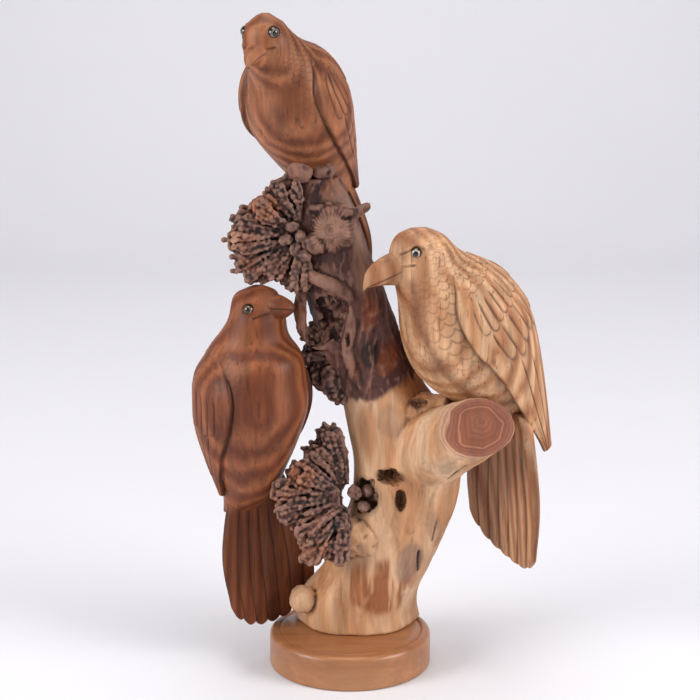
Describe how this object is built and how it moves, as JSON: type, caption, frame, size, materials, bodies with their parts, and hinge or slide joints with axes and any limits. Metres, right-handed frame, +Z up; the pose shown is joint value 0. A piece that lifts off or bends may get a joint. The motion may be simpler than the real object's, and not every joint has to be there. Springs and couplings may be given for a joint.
{
  "type": "wood bird carving",
  "caption": "Carved wooden birds perched on a knotty piece of parasite wood with wood-rose growths and a sawn-off branch, standing on a round turned plinth",
  "frame": {"origin": "middle of the plinth's underside", "axes": "+Z is up and the longest extent; -Y is the front, towards which the sawn branch end looks"},
  "size_m": [0.2711, 0.1278, 0.5033],
  "materials": {
    "plinth": "polished",
    "trunk": "natural",
    "top_bird": "polished",
    "left_bird": "polished",
    "right_bird": "polished",
    "eye": "gloss"
  },
  "bodies": {
    "root": {"plinth": "plinth", "trunk": "trunk", "top_bird": "top_bird", "left_bird": "left_bird", "right_bird": "right_bird", "top_bird_left_eye": "eye", "top_bird_right_eye": "eye", "left_bird_left_eye": "eye", "left_bird_right_eye": "eye", "right_bird_left_eye": "eye", "right_bird_right_eye": "eye"}
  },
  "joints": []
}
